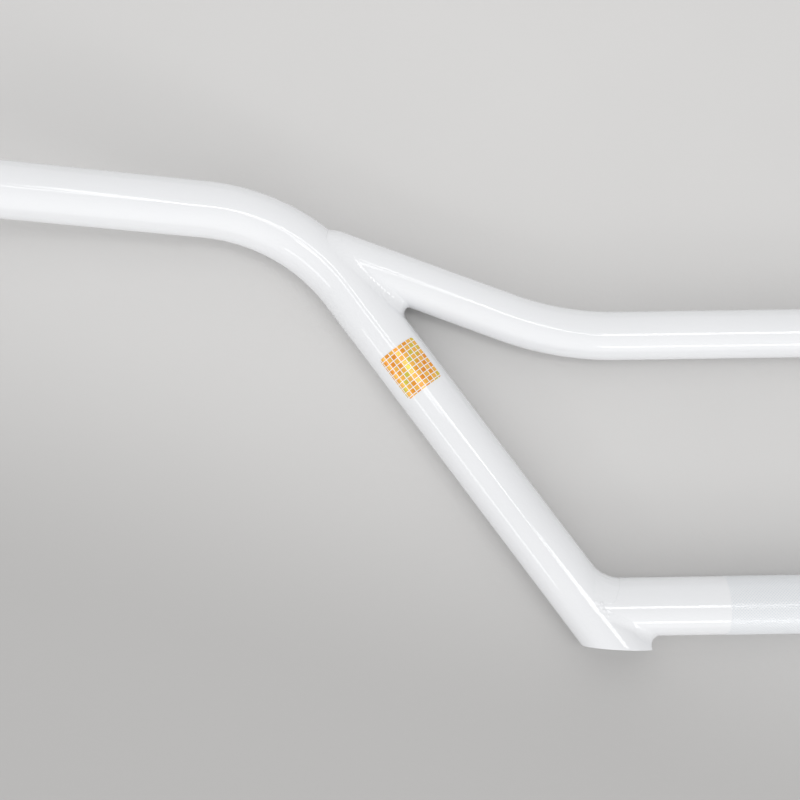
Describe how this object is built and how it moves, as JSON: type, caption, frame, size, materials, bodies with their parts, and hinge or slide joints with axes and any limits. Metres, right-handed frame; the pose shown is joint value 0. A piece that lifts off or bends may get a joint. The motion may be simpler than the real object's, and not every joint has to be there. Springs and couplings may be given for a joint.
{
  "type": "bmx handlebar",
  "caption": "Welded steel BMX handlebar with a clamp tube, two bent side tubes, a crossbar and a knurled middle, painted white.",
  "frame": {"origin": "middle of the clamp tube, on its axis", "axes": "+X along the clamp tube towards the right grip of the picture, +Y up when the bar is fitted, +Z to the rider and up as the bar lies"},
  "size_m": [0.7404, 0.1924, 0.0559],
  "materials": {
    "white_paint": "glossy",
    "gold_foil": "holographic foil"
  },
  "bodies": {
    "root": {"clamp_tube": "white_paint", "left_side_tube": "white_paint", "right_side_tube": "white_paint", "crossbar": "white_paint", "lower_left_weld": "white_paint", "lower_right_weld": "white_paint", "upper_left_weld": "white_paint", "upper_right_weld": "white_paint", "foil_patch": "gold_foil"}
  },
  "joints": []
}
